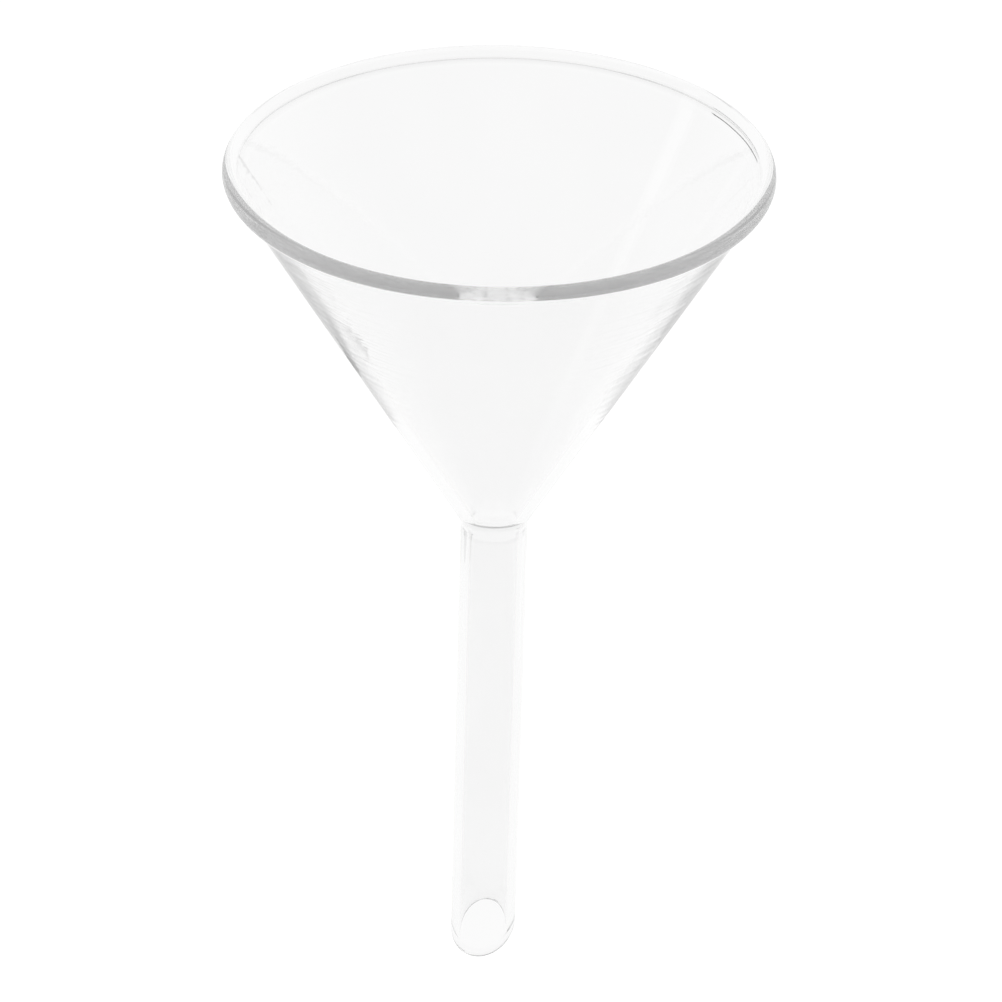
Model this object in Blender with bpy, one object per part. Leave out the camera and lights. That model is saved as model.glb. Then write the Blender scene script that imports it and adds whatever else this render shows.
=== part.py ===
"""Glass filter funnel: a 60 degree bowl with a beaded rim, fused onto a stem with a slanting tip.

Metres, +Z up along the axis. The origin is on the axis, in the plane of the support ring
that the bowl sits in. The tip's low side faces -Y.
"""

import math

import bmesh
import bpy
from mathutils import Matrix, Vector

MM = 0.001

# Driving dimensions.
RIM_DIAMETER = 80 * MM
CONE_ANGLE = math.radians(60)
SEAT_DIAMETER = 50 * MM
OVERALL_HEIGHT = 138.5 * MM
WALL = 1.4 * MM
BEAD_DIAMETER = 2.4 * MM
BEAD_PROUD = 0.93 * MM
RIM_LAND_WIDTH = 0.9 * MM
STEM_DIAMETER = 10.2 * MM
BORE_DIAMETER = 7.4 * MM
NECK_RADIUS = 3.5 * MM
TIP_SLANT = math.radians(31.5)
FUSED_GAP = 0.3 * MM

# Facets round the bowl and round the stem, and steps on the bead and in the neck.
BOWL_FACETS = 96
STEM_FACETS = 48
BEAD_STEPS = 14
NECK_STEPS = 4

# Places that follow from them.
SLOPE = math.tan(CONE_ANGLE / 2)
RIM_RADIUS = RIM_DIAMETER / 2
BEAD_RADIUS = BEAD_DIAMETER / 2
BEAD_CENTRE_RADIUS = RIM_RADIUS - BEAD_RADIUS
BEAD_CENTRE_Z = (RIM_RADIUS - BEAD_PROUD - SEAT_DIAMETER / 2) / SLOPE
LAND_ANGLE = math.asin(RIM_LAND_WIDTH / BEAD_DIAMETER)
RIM_TOP_Z = BEAD_CENTRE_Z + BEAD_RADIUS * math.cos(LAND_ANGLE)
TIP_Z = RIM_TOP_Z - OVERALL_HEIGHT
STEM_RADIUS = STEM_DIAMETER / 2
BORE_RADIUS = BORE_DIAMETER / 2
WALL_ACROSS = WALL / math.cos(CONE_ANGLE / 2)


def outer_cone_z(radius):
    """Height at which the bowl's outer cone has this radius."""
    return (radius - SEAT_DIAMETER / 2) / SLOPE


def inner_cone_z(radius):
    """Height at which the bowl's inner cone has this radius."""
    return outer_cone_z(radius + WALL_ACROSS)


def arc(centre, radius, start, end, steps):
    """Points (r, z) along a circular arc, both ends included; angles from +r towards +z."""
    turns = [start + (end - start) * step / steps for step in range(steps + 1)]
    return [
        (centre[0] + radius * math.cos(turn), centre[1] + radius * math.sin(turn))
        for turn in turns
    ]


def neck_arc(tube_radius, corner_z, blend_radius):
    """The blend from the cone, above, down to a tube wall."""
    half_bend = CONE_ANGLE / 4
    centre = (tube_radius + blend_radius, corner_z - blend_radius * math.tan(half_bend))
    return arc(centre, blend_radius, math.pi - CONE_ANGLE / 2, math.pi, NECK_STEPS)


def bead_crossing(face_offset, side):
    """Angle at which the bead's circle crosses a face of the bowl's wall."""
    return side - math.acos(face_offset / BEAD_RADIUS)


OUTER_NECK = neck_arc(STEM_RADIUS, outer_cone_z(STEM_RADIUS), NECK_RADIUS)
INNER_NECK = neck_arc(BORE_RADIUS, inner_cone_z(BORE_RADIUS), NECK_RADIUS + WALL)
FUSED_Z = OUTER_NECK[-1][1] - NECK_RADIUS / 4


def bowl_outline():
    """The bowl wall's outline: bead, outer cone and neck downwards, then back up inside."""
    half_angle = CONE_ANGLE / 2
    outer_face = (outer_cone_z(BEAD_CENTRE_RADIUS) - BEAD_CENTRE_Z) * math.sin(half_angle)
    outer_end = bead_crossing(-outer_face, -half_angle)
    inner_end = bead_crossing(WALL + outer_face, math.pi - half_angle)
    centre = (BEAD_CENTRE_RADIUS, BEAD_CENTRE_Z)
    land_outer = math.pi / 2 - LAND_ANGLE
    land_inner = math.pi / 2 + LAND_ANGLE
    bead_outside = arc(centre, BEAD_RADIUS, land_outer, outer_end, BEAD_STEPS)
    bead_inside = arc(centre, BEAD_RADIUS, inner_end, land_inner, BEAD_STEPS // 4)
    foot_z = FUSED_Z + FUSED_GAP / 2
    foot = [(STEM_RADIUS, foot_z), (BORE_RADIUS, foot_z)]
    return bead_outside + OUTER_NECK + foot + INNER_NECK[::-1] + bead_inside


def stem_outline():
    """The stem wall's outline, as a tube that runs past where the tip is cut."""
    top_z = FUSED_Z - FUSED_GAP / 2
    end_z = TIP_Z - STEM_RADIUS
    return [
        (STEM_RADIUS, top_z),
        (STEM_RADIUS, end_z),
        (BORE_RADIUS, end_z),
        (BORE_RADIUS, top_z),
    ]


def turned(name, outline, facets, material):
    """A solid turned about Z from a closed outline in the XZ plane."""
    mesh = bpy.data.meshes.new(name)
    shape = bmesh.new()
    points = [shape.verts.new((radius, 0, z)) for radius, z in outline]
    for index, point in enumerate(points):
        shape.edges.new((points[index - 1], point))
    shape.to_mesh(mesh)
    shape.free()
    solid = bpy.data.objects.new(name, mesh)
    bpy.context.scene.collection.objects.link(solid)
    mesh.materials.append(material)
    screw = solid.modifiers.new("turn", "SCREW")
    screw.steps = facets
    screw.render_steps = facets
    screw.use_merge_vertices = True
    screw.merge_threshold = 0.01 * MM
    screw.use_smooth_shade = True
    return solid


def tip_cutter():
    """A slab below the slanting plane that ends the stem; its top rises from -Y to +Y."""
    side = 6 * STEM_DIAMETER
    mesh = bpy.data.meshes.new("tip_cutter")
    shape = bmesh.new()
    bmesh.ops.create_cube(shape, size=side)
    bmesh.ops.translate(shape, verts=shape.verts[:], vec=(0, 0, -side / 2))
    bmesh.ops.rotate(shape, verts=shape.verts[:], matrix=Matrix.Rotation(TIP_SLANT, 3, "X"))
    shape.to_mesh(mesh)
    shape.free()
    cutter = bpy.data.objects.new("tip_cutter", mesh)
    bpy.context.scene.collection.objects.link(cutter)
    cutter.location = Vector((0, 0, TIP_Z + STEM_RADIUS * math.tan(TIP_SLANT)))
    cutter.hide_render = True
    cutter.display_type = "WIRE"
    return cutter


def clear_glass():
    material = bpy.data.materials.new("clear_glass")
    material.use_nodes = True
    shader = material.node_tree.nodes["Principled BSDF"]
    shader.inputs["Base Color"].default_value = (0.94, 0.97, 0.96, 1)
    shader.inputs["Roughness"].default_value = 0.02
    shader.inputs["Metallic"].default_value = 0
    shader.inputs["IOR"].default_value = 1.47
    shader.inputs["Transmission Weight"].default_value = 1
    return material


def make_bowl():
    return turned("bowl", bowl_outline(), BOWL_FACETS, clear_glass())


def make_stem():
    stem = turned("stem", stem_outline(), STEM_FACETS, clear_glass())
    cut = stem.modifiers.new("slanting_tip", "BOOLEAN")
    cut.operation = "DIFFERENCE"
    cut.object = tip_cutter()
    return stem


for old in list(bpy.data.objects):
    bpy.data.objects.remove(old)
make_bowl()
make_stem()
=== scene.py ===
"""Looks of the glass funnel: its bowl and stem as clear, fire-polished glass over a plain white floor.

Lengths are in metres in the CAD's frame, with +Z up along the axis and the tip's low side facing -Y.
"""

import math

import bmesh
import bpy
from mathutils import Matrix, Vector


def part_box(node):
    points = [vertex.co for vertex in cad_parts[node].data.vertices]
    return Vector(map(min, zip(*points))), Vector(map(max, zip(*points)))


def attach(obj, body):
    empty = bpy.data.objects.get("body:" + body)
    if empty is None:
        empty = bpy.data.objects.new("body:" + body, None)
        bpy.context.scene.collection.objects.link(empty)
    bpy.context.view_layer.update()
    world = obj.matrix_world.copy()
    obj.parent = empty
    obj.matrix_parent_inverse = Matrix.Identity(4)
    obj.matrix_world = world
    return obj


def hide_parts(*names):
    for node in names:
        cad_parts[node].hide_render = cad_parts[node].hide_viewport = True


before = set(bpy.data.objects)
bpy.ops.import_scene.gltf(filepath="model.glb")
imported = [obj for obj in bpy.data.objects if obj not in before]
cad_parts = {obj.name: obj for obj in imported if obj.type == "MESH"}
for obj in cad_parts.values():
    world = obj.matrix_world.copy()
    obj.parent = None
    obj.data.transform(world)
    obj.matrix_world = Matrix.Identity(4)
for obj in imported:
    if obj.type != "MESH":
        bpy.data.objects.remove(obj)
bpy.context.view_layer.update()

MM = 0.001

# Places taken from the CAD.
BOWL_LOW, BOWL_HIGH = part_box("bowl")
STEM_LOW, STEM_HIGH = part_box("stem")
RIM_RADIUS = (BOWL_HIGH[0] - BOWL_LOW[0]) / 2
STEM_RADIUS = (STEM_HIGH[0] - STEM_LOW[0]) / 2
SEAM_Z = (BOWL_LOW[2] + STEM_HIGH[2]) / 2
TIP_Z = STEM_LOW[2]

# The bowl: its wall, the bead on its rim, and the blends at the bead and at the neck.
HALF_CONE = math.radians(30)
WALL = 1.4 * MM
BEAD_RADIUS = 1.2 * MM
BEAD_PROUD = 0.93 * MM
BEAD_FILLET = 3.0 * MM
NECK_RADIUS = 3.5 * MM

# The fused joint inside the neck: its inner corner sits higher than an even wall would put it.
JOINT_RADIUS = 0.8 * MM
JOINT_RISE = 1.3 * MM
SEAM_GAP = 0.01 * MM
SEAM_TOLERANCE = 0.001 * MM

# The stem: its bore, its slanting, fire-polished tip, and its slight lean to the camera's left.
BORE_RADIUS = 3.7 * MM
TIP_SLANT = math.radians(31.5)
TIP_EDGE = 0.69 * MM
SLANT_TOP = SEAM_Z - 40 * MM
SLANT_FULL = TIP_Z + 12 * MM
STEM_LEAN = math.tan(math.radians(0.64))

# How fine the surfaces are.
SEGMENTS = 384
BEAD_STEPS = 96
FILLET_STEPS = 24
NECK_STEPS = 24
JOINT_STEPS = 16
EDGE_STEPS = 10
CONE_STEPS = 30
STEM_STEPS = 60
SHARP_ANGLE = math.radians(60)
LEVEL_NORMAL = 0.99

# Places that follow from them.
SLOPE = math.tan(HALF_CONE)
BEAD_Z = BOWL_HIGH[2] - BEAD_RADIUS
SEAT_RADIUS = RIM_RADIUS - BEAD_PROUD - BEAD_Z * SLOPE

# The camera looks along AHEAD and down.
CAMERA_TURN = math.radians(19)
CAMERA_DOWN = math.radians(30.73)
CAMERA_ROLL = math.radians(0.89)
CAMERA_LENS = 170.1198
CAMERA_SENSOR = 36
CAMERA_REACH = 20
CAMERA_ACROSS = -0.0061 * RIM_RADIUS
CAMERA_DROP = 1.2022 * RIM_RADIUS
CAMERA_AWAY = 17.086 * RIM_RADIUS
AHEAD = Vector((-math.sin(CAMERA_TURN), math.cos(CAMERA_TURN), 0))
RIGHT = Vector((math.cos(CAMERA_TURN), math.sin(CAMERA_TURN), 0))

# Clear borosilicate. Ripples are depths in mm, and scales say how many features there are in a metre.
GLASS_IOR = 1.473
TINT_SPREAD = 0.004
TINT_SCALE = 60
ROUGH_LOW = 0.0
ROUGH_HIGH = 0.012
ROUGH_SCALE = 90
BOWL_GLASS = {"tint": 0.968, "ripple_scale": (60, 60, 700), "ripple": 0.02, "density": 0.6}
STEM_GLASS = {"tint": 0.951, "ripple_scale": (450, 450, 12), "ripple": 0.012, "density": 0.15}
RIPPLE_LOW = 0.3
RIPPLE_FADE = (-10 * MM, 8 * MM)
RIPPLE_DETAIL = 2
UNEVEN_DETAIL = 1
NOISE_SPAN = (0.3, 0.7)

# Painted shade: a dark line painted round the neck's inner corner, on the near side only, for the shade
# the sharp corner throws: how dark it is, and where it fades in and out.
CORNER_PAINTED_SHADE = 0.75
PAINTED_SHADE_FADE = (0.05 * MM, 0.4 * MM)
PAINTED_SHADE_REACH = (4.3 * MM, 4.6 * MM)
PAINTED_SHADE_FRONT = (0.8 * MM, 3.0 * MM)

# The surroundings: a white backdrop below the horizon and a room above it, darker behind the camera.
CAMERA_WHITE = 1.02
BACKDROP = 1.01
ROOM_AHEAD = 0.98
ROOM_BEHIND = 0.455
ROOM_TURN = (-0.3, 0.9)
HORIZON = math.sin(math.radians(-11))
HORIZON_BLUR = math.sin(math.radians(5))

# Cards that stand in for things round the photographed funnel. Only its glass shows them.
# The flat ones lie in one level plane: corners across and ahead in mm, seen from the camera's side.
CARD_PLANE = -120
FLAT_CARDS = {
    "card_left_strip": (
        ((-61, 140), (-57, 145), (-54, 150), (-51, 156), (-51, 159), (-54, 160), (-58, 154), (-63, 146)),
        0.36,
    ),
    "card_left_end": (
        ((-71, 124), (-66, 121), (-62, 130), (-58, 138), (-55, 144), (-52, 151), (-54, 150), (-57, 145),
         (-61, 140), (-63, 146), (-68, 141), (-73, 132)),
        0.56,
    ),
    "card_left": (
        ((-110, 92), (-92, 97), (-77, 106), (-71, 112), (-67, 118), (-66, 121), (-71, 124), (-73, 132),
         (-68, 141), (-63, 146), (-60, 152), (-66, 160), (-90, 165), (-110, 165)),
        0.86,
    ),
    "card_left_top": (
        ((-110, 165), (-90, 165), (-66, 160), (-62, 162), (-54, 181), (-60, 190), (-110, 195)),
        0.9,
    ),
    "card_right": (
        ((53, 171), (57, 164), (65, 149), (70, 137), (74, 126), (80, 118), (92, 112), (108, 110),
         (108, 190), (72, 186), (58, 184)),
        0.88,
    ),
    "card_right_light": (
        ((44, 158), (36, 148), (56, 74), (78, 84), (84, 112), (79, 117), (73, 126), (69, 137),
         (64, 148), (56, 163)),
        1.035,
    ),
}
# A dark one stands far behind on the right: its left and right ends, its top and bottom, its tone.
BACK_CARD_ENDS = ((205, 979), (423, 906))
BACK_CARD_HEIGHTS = (-161, -120)
BACK_CARD_TONE = 0.05

# The floor and the window's light.
FLOOR_HALF = 1.6
FLOOR_DROP = 70 * MM
FLOOR_COLOUR = 0.9
FLOOR_ROUGHNESS = 0.9
FLOOR_GLOW = 0.52
WINDOW_WIDTH = 0.2
WINDOW_HEIGHT = 0.7
WINDOW_POWER = 0.15
WINDOW_PLACE = RIGHT * -1.4 + AHEAD * 0.1 + Vector((0, 0, 0.45))

# Light is guided a long way round inside the wall, so paths are long.
LIGHT_BOUNCES = 160


# Outlines: points (radius, z) on one side of the axis.

def outer_z(radius):
    """Height of the cone's outer face at a radius."""
    return (radius - SEAT_RADIUS) / SLOPE


def inner_z(radius):
    """Height of the cone's inner face at a radius."""
    return outer_z(radius + WALL / math.cos(HALF_CONE))


def arc(centre, radius, start, end, steps):
    """Points along an arc, both ends included."""
    turns = [start + (end - start) * step / steps for step in range(steps + 1)]
    return [
        (centre[0] + radius * math.cos(turn), centre[1] + radius * math.sin(turn))
        for turn in turns
    ]


def line(start, end, steps):
    """Points between two points, without either end."""
    return [
        (
            start[0] + (end[0] - start[0]) * step / steps,
            start[1] + (end[1] - start[1]) * step / steps,
        )
        for step in range(1, steps)
    ]


def neck_arc(tube_radius, corner_z, blend_radius, steps):
    """The blend from a cone's face, above, to a tube's face, below, which would meet at corner_z."""
    centre = (tube_radius + blend_radius, corner_z - blend_radius * math.tan(HALF_CONE / 2))
    return arc(centre, blend_radius, math.pi - HALF_CONE, math.pi, steps)


def rim_outline():
    """The bead from its inner tangent over the top, and the fillet that runs it into the outer face."""
    along = Vector((math.sin(HALF_CONE), math.cos(HALF_CONE)))
    out = Vector((math.cos(HALF_CONE), -math.sin(HALF_CONE)))
    depth = BEAD_RADIUS - WALL
    centre_r = RIM_RADIUS - BEAD_RADIUS
    centre_z = ((centre_r - SEAT_RADIUS) * out.x - depth) / math.sin(HALF_CONE)
    down = math.sqrt((BEAD_RADIUS + BEAD_FILLET) ** 2 - (BEAD_FILLET - depth) ** 2)
    to_fillet = (BEAD_FILLET - depth) * out - down * along
    fillet = Vector((centre_r, centre_z)) + to_fillet
    bead_end = math.atan2(to_fillet.y, to_fillet.x)
    inner = math.pi - HALF_CONE
    bead = arc((centre_r, centre_z), BEAD_RADIUS, inner, bead_end, BEAD_STEPS)
    return bead + arc(fillet, BEAD_FILLET, bead_end + math.pi, inner, FILLET_STEPS)[1:]


def joint_corner_z():
    """Height of the inner corner where the bowl runs into the bore."""
    return inner_z(BORE_RADIUS) + JOINT_RISE


def bowl_outline():
    """Over the rim, down the outside, across the foot and back up the inside."""
    rim = rim_outline()
    outer_neck = neck_arc(STEM_RADIUS, outer_z(STEM_RADIUS), NECK_RADIUS, NECK_STEPS)
    inner_neck = neck_arc(BORE_RADIUS, joint_corner_z(), JOINT_RADIUS, JOINT_STEPS)
    inner_neck.reverse()
    foot_z = SEAM_Z + SEAM_GAP / 2
    foot = [(STEM_RADIUS, foot_z), (BORE_RADIUS, foot_z)]
    outside = line(rim[-1], outer_neck[0], CONE_STEPS)
    inside = line(inner_neck[-1], rim[0], CONE_STEPS)
    return rim + outside + outer_neck + foot + inner_neck + inside


def stem_outline():
    """Down the outside, round the polished edge of the tip and back up the bore."""
    top_z = SEAM_Z - SEAM_GAP / 2
    edge_z = TIP_Z + STEM_RADIUS * math.tan(TIP_SLANT) + TIP_EDGE
    outer_edge = arc((STEM_RADIUS - TIP_EDGE, edge_z), TIP_EDGE, 0, -math.pi / 2, EDGE_STEPS)
    inner_edge = arc((BORE_RADIUS + TIP_EDGE, edge_z), TIP_EDGE, -math.pi / 2, -math.pi, EDGE_STEPS)
    top_outer = (STEM_RADIUS, top_z)
    top_inner = (BORE_RADIUS, top_z)
    outside = line(top_outer, outer_edge[0], STEM_STEPS)
    inside = line(inner_edge[-1], top_inner, STEM_STEPS)
    return [top_outer] + outside + outer_edge + inner_edge + inside + [top_inner]


def stem_slant(z):
    """How steeply a ring of the stem tilts up towards +Y: level high up, the cut's slant at the tip."""
    share = min(max((SLANT_TOP - z) / (SLANT_TOP - SLANT_FULL), 0), 1)
    return share * math.tan(TIP_SLANT)


def stem_lean(z):
    """How far the lean moves a ring of the stem in X and Y."""
    shift = STEM_LEAN * (SEAM_Z - z)
    return -shift * math.cos(CAMERA_TURN), -shift * math.sin(CAMERA_TURN)


def lathe(name, outline, slant=None, lean=None):
    """A closed solid turned about Z; slant(z) tilts a ring up towards +Y, lean(z) moves it sideways."""
    mesh = bpy.data.meshes.new(name)
    shape = bmesh.new()
    rings = []
    for segment in range(SEGMENTS):
        turn = 2 * math.pi * segment / SEGMENTS
        across, along = math.cos(turn), math.sin(turn)
        ring = []
        for radius, z in outline:
            lift = slant(z) * radius * along if slant else 0
            x, y = lean(z) if lean else (0, 0)
            ring.append(shape.verts.new((radius * across + x, radius * along + y, z + lift)))
        rings.append(ring)
    for segment, ring in enumerate(rings):
        before = rings[segment - 1]
        for step in range(len(outline)):
            shape.faces.new((before[step - 1], before[step], ring[step], ring[step - 1]))
    bmesh.ops.recalc_face_normals(shape, faces=shape.faces[:])
    shape.to_mesh(mesh)
    shape.free()
    mesh.shade_smooth()
    mesh.set_sharp_from_angle(angle=SHARP_ANGLE)
    piece = bpy.data.objects.new(name, mesh)
    bpy.context.scene.collection.objects.link(piece)
    return piece


# Material nodes: each function adds nodes to a tree and returns the socket that carries its result.

def feed(tree, value, socket):
    """A socket's value: a number set on it, or another node's output linked to it."""
    if isinstance(value, (int, float)):
        socket.default_value = value
    else:
        tree.links.new(value, socket)


def map_range(tree, source, low, high, to_low, to_high):
    """A smooth step from to_low to to_high as the source goes from low to high."""
    ramp = tree.nodes.new("ShaderNodeMapRange")
    ramp.interpolation_type = "SMOOTHSTEP"
    tree.links.new(source, ramp.inputs["Value"])
    ramp.inputs["From Min"].default_value = low
    ramp.inputs["From Max"].default_value = high
    ramp.inputs["To Min"].default_value = to_low
    ramp.inputs["To Max"].default_value = to_high
    return ramp.outputs["Result"]


def blend(tree, share, first, second):
    """The first value where the share is 0, the second where it is 1."""
    mix = tree.nodes.new("ShaderNodeMix")
    feed(tree, share, mix.inputs["Factor"])
    feed(tree, first, mix.inputs["A"])
    feed(tree, second, mix.inputs["B"])
    return mix.outputs["Result"]


def multiply(tree, first, second):
    """The product of two values."""
    product = tree.nodes.new("ShaderNodeMath")
    product.operation = "MULTIPLY"
    feed(tree, first, product.inputs[0])
    feed(tree, second, product.inputs[1])
    return product.outputs["Value"]


def dot(tree, source, direction):
    """How far a place or a direction lies along another direction."""
    product = tree.nodes.new("ShaderNodeVectorMath")
    product.operation = "DOT_PRODUCT"
    product.inputs[1].default_value = direction
    tree.links.new(source, product.inputs[0])
    return product.outputs["Value"]


def own_place(tree):
    """Where a point lies in its piece's own coordinates."""
    return tree.nodes.new("ShaderNodeTexCoord").outputs["Object"]


def height(tree, source):
    """The Z of a place or a direction."""
    split = tree.nodes.new("ShaderNodeSeparateXYZ")
    tree.links.new(source, split.inputs["Vector"])
    return split.outputs["Z"]


def axis_distance(tree, source):
    """How far a place is from the funnel's axis."""
    flat = tree.nodes.new("ShaderNodeVectorMath")
    flat.operation = "MULTIPLY"
    flat.inputs[1].default_value = (1, 1, 0)
    tree.links.new(source, flat.inputs[0])
    length = tree.nodes.new("ShaderNodeVectorMath")
    length.operation = "LENGTH"
    tree.links.new(flat.outputs["Vector"], length.inputs[0])
    return length.outputs["Value"]


def stretched_noise(tree, scale, detail):
    """Noise pulled out along one direction by an uneven scale of the piece's own coordinates."""
    pull = tree.nodes.new("ShaderNodeMapping")
    pull.inputs["Scale"].default_value = scale
    tree.links.new(own_place(tree), pull.inputs["Vector"])
    noise = tree.nodes.new("ShaderNodeTexNoise")
    noise.inputs["Scale"].default_value = 1
    noise.inputs["Detail"].default_value = detail
    tree.links.new(pull.outputs["Vector"], noise.inputs["Vector"])
    return noise.outputs["Fac"]


def uneven(tree, scale, low, high):
    """A value that wanders between two levels over the piece."""
    noise = stretched_noise(tree, (scale, scale, scale), UNEVEN_DETAIL)
    return map_range(tree, noise, *NOISE_SPAN, low, high)


def ripples(tree, scale):
    """Fine ripples, strongest under the rim and fainter below it."""
    fade = map_range(tree, height(tree, own_place(tree)), *RIPPLE_FADE, RIPPLE_LOW, 1)
    return multiply(tree, stretched_noise(tree, scale, RIPPLE_DETAIL), fade)


def painted_corner_shade(tree):
    """How much painted shade there is: a dark line round the inner corner, on the near side, for the shade
    the sharp corner throws.
    """
    place = own_place(tree)
    thin, wide = PAINTED_SHADE_FADE
    corner_z = joint_corner_z()
    z = height(tree, place)
    below = map_range(tree, z, corner_z - wide, corner_z - thin, 0, 1)
    over = map_range(tree, z, corner_z + thin, corner_z + wide, 1, 0)
    inside = map_range(tree, axis_distance(tree, place), *PAINTED_SHADE_REACH, 1, 0)
    front = map_range(tree, dot(tree, place, -AHEAD), *PAINTED_SHADE_FRONT, 0, 1)
    return multiply(tree, multiply(tree, below, over), multiply(tree, inside, front))


def glass(name, tint, ripple_scale, ripple, density):
    """Clear borosilicate with the faint ripples that drawing and turning leave, and painted shade along
    the neck's inner corner.
    """
    material = bpy.data.materials.new(name)
    material.use_nodes = True
    tree = material.node_tree
    shader = tree.nodes["Principled BSDF"]
    shader.inputs["IOR"].default_value = GLASS_IOR
    shader.inputs["Transmission Weight"].default_value = 1
    tone = uneven(tree, TINT_SCALE, tint - TINT_SPREAD, tint + TINT_SPREAD)
    # Painted shade: the base colour darkens towards black along the neck's inner corner, on the near side
    # only.
    tone = blend(tree, multiply(tree, painted_corner_shade(tree), CORNER_PAINTED_SHADE), tone, 0.0)
    tree.links.new(tone, shader.inputs["Base Color"])
    roughness = uneven(tree, ROUGH_SCALE, ROUGH_LOW, ROUGH_HIGH)
    tree.links.new(roughness, shader.inputs["Roughness"])
    bump = tree.nodes.new("ShaderNodeBump")
    bump.inputs["Strength"].default_value = 1
    bump.inputs["Distance"].default_value = ripple * MM
    tree.links.new(ripples(tree, ripple_scale), bump.inputs["Height"])
    tree.links.new(bump.outputs["Normal"], shader.inputs["Normal"])
    dim = tree.nodes.new("ShaderNodeVolumeAbsorption")
    dim.inputs["Color"].default_value = (0, 0, 0, 1)
    dim.inputs["Density"].default_value = density
    tree.links.new(dim.outputs["Volume"], tree.nodes["Material Output"].inputs["Volume"])
    return material


def one_shader(name, kind):
    """A material with a single shader node, and that node."""
    material = bpy.data.materials.new(name)
    material.use_nodes = True
    tree = material.node_tree
    tree.nodes.clear()
    output = tree.nodes.new("ShaderNodeOutputMaterial")
    shader = tree.nodes.new(kind)
    tree.links.new(shader.outputs[0], output.inputs["Surface"])
    return material, shader


# The funnel.

def mark_seam(piece, z):
    """The flat ring where bowl and stem are fused passes light as if there were no face."""
    for polygon in piece.data.polygons:
        level = abs(polygon.normal.z) > LEVEL_NORMAL
        if level and abs(polygon.center.z - z) < SEAM_TOLERANCE:
            polygon.material_index = 1


def build_funnel():
    """The bowl and the stem, each with its glass and the clear ring of the seam."""
    bowl_clear = glass("clear_glass_bowl", **BOWL_GLASS)
    stem_clear = glass("clear_glass_stem", **STEM_GLASS)
    seam_clear, _ = one_shader("fused_seam", "ShaderNodeBsdfTransparent")
    bowl = lathe("bowl_glass", bowl_outline())
    stem = lathe("stem_glass", stem_outline(), stem_slant, stem_lean)
    for piece, clear, z in (
        (bowl, bowl_clear, SEAM_Z + SEAM_GAP / 2),
        (stem, stem_clear, SEAM_Z - SEAM_GAP / 2),
    ):
        piece.data.materials.append(clear)
        piece.data.materials.append(seam_clear)
        mark_seam(piece, z)
        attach(piece, "root")
    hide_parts("bowl")
    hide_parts("stem")


# The studio.

def place_camera():
    """The camera at the photograph's viewing angle."""
    forward = AHEAD * math.cos(CAMERA_DOWN) - Vector((0, 0, math.sin(CAMERA_DOWN)))
    upward = AHEAD * math.sin(CAMERA_DOWN) + Vector((0, 0, math.cos(CAMERA_DOWN)))
    side = RIGHT * math.cos(CAMERA_ROLL) + upward * math.sin(CAMERA_ROLL)
    top = upward * math.cos(CAMERA_ROLL) - RIGHT * math.sin(CAMERA_ROLL)
    rim_centre = Vector((0, 0, BEAD_Z))
    place = Matrix((side, top, -forward)).transposed().to_4x4()
    place.translation = rim_centre - side * CAMERA_ACROSS - top * CAMERA_DROP - forward * CAMERA_AWAY
    camera = bpy.data.objects.new("camera", bpy.data.cameras.new("camera"))
    camera.matrix_world = place
    camera.data.lens = CAMERA_LENS
    camera.data.sensor_width = CAMERA_SENSOR
    camera.data.clip_end = CAMERA_REACH
    bpy.context.scene.collection.objects.link(camera)
    bpy.context.scene.camera = camera


def surroundings():
    """A white backdrop below the horizon, and a greyer room above it."""
    world = bpy.data.worlds.new("studio")
    world.use_nodes = True
    tree = world.node_tree
    tree.nodes.clear()
    output = tree.nodes.new("ShaderNodeOutputWorld")
    light = tree.nodes.new("ShaderNodeBackground")
    light.inputs["Color"].default_value = (1, 1, 1, 1)
    tree.links.new(light.outputs["Background"], output.inputs["Surface"])
    direction = tree.nodes.new("ShaderNodeTexCoord").outputs["Generated"]
    room = map_range(tree, dot(tree, direction, AHEAD), *ROOM_TURN, ROOM_BEHIND, ROOM_AHEAD)
    level = (HORIZON - HORIZON_BLUR, HORIZON + HORIZON_BLUR)
    above = map_range(tree, height(tree, direction), *level, 0, 1)
    shade = blend(tree, above, BACKDROP, room)
    path = tree.nodes.new("ShaderNodeLightPath")
    seen = blend(tree, path.outputs["Is Camera Ray"], shade, CAMERA_WHITE)
    tree.links.new(seen, light.inputs["Strength"])
    bpy.context.scene.world = world


def card(name, corners, tone):
    """An even, glowing sheet that only the glass shows; corners are in mm, seen from the camera's side."""
    mesh = bpy.data.meshes.new(name)
    points = [(x * MM, y * MM, z * MM) for x, y, z in corners]
    mesh.from_pydata(points, [], [range(len(points))])
    material, glow = one_shader(name, "ShaderNodeEmission")
    glow.inputs["Strength"].default_value = tone
    mesh.materials.append(material)
    made = bpy.data.objects.new(name, mesh)
    made.rotation_euler = (0, 0, CAMERA_TURN)
    made.visible_camera = False
    made.visible_diffuse = False
    made.visible_shadow = False
    bpy.context.scene.collection.objects.link(made)


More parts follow.
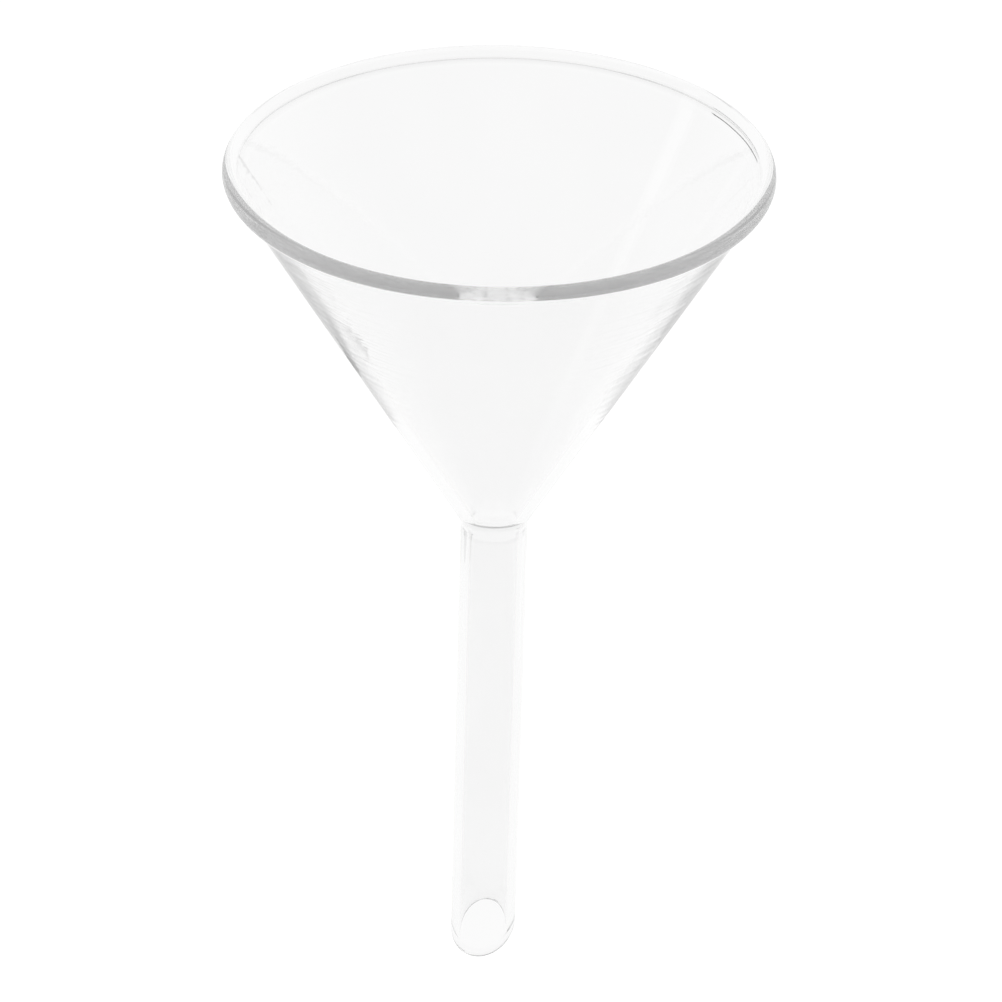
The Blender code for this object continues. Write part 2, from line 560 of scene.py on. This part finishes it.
def place_cards():
    """The flat cards round the funnel and the dark one far behind it."""
    for name, (corners, tone) in FLAT_CARDS.items():
        card(name, [(x, y, CARD_PLANE) for x, y in corners], tone)
    near, far = BACK_CARD_ENDS
    low_z, high_z = BACK_CARD_HEIGHTS
    upright = ((*near, low_z), (*far, low_z), (*far, high_z), (*near, high_z))
    card("card_back_right", upright, BACK_CARD_TONE)


def floor():
    """A plain white floor under the hanging funnel."""
    mesh = bpy.data.meshes.new("floor")
    corners = [
        (-FLOOR_HALF, -FLOOR_HALF, 0),
        (FLOOR_HALF, -FLOOR_HALF, 0),
        (FLOOR_HALF, FLOOR_HALF, 0),
        (-FLOOR_HALF, FLOOR_HALF, 0),
    ]
    mesh.from_pydata(corners, [], [(0, 1, 2, 3)])
    material = bpy.data.materials.new("floor_white")
    material.use_nodes = True
    shader = material.node_tree.nodes["Principled BSDF"]
    shader.inputs["Base Color"].default_value = (FLOOR_COLOUR, FLOOR_COLOUR, FLOOR_COLOUR, 1)
    shader.inputs["Roughness"].default_value = FLOOR_ROUGHNESS
    shader.inputs["Emission Color"].default_value = (1, 1, 1, 1)
    shader.inputs["Emission Strength"].default_value = FLOOR_GLOW
    mesh.materials.append(material)
    made = bpy.data.objects.new("floor", mesh)
    made.location = (0, 0, TIP_Z - FLOOR_DROP)
    made.visible_transmission = False
    made.visible_glossy = False
    made.visible_shadow = False
    bpy.context.scene.collection.objects.link(made)


def window_light():
    """A tall soft light on the left, whose faint streak runs down the inside of the cone."""
    lamp = bpy.data.lights.new("window", "AREA")
    lamp.shape = "RECTANGLE"
    lamp.size = WINDOW_WIDTH
    lamp.size_y = WINDOW_HEIGHT
    lamp.energy = WINDOW_POWER
    made = bpy.data.objects.new("window", lamp)
    made.location = WINDOW_PLACE
    made.rotation_euler = (-WINDOW_PLACE).to_track_quat("-Z", "Y").to_euler()
    made.visible_camera = False
    bpy.context.scene.collection.objects.link(made)


build_funnel()
place_camera()
surroundings()
place_cards()
floor()
window_light()

bpy.context.scene.view_settings.view_transform = "Standard"
bpy.context.scene.cycles.max_bounces = LIGHT_BOUNCES
bpy.context.scene.cycles.transmission_bounces = LIGHT_BOUNCES
bpy.context.scene.cycles.glossy_bounces = LIGHT_BOUNCES
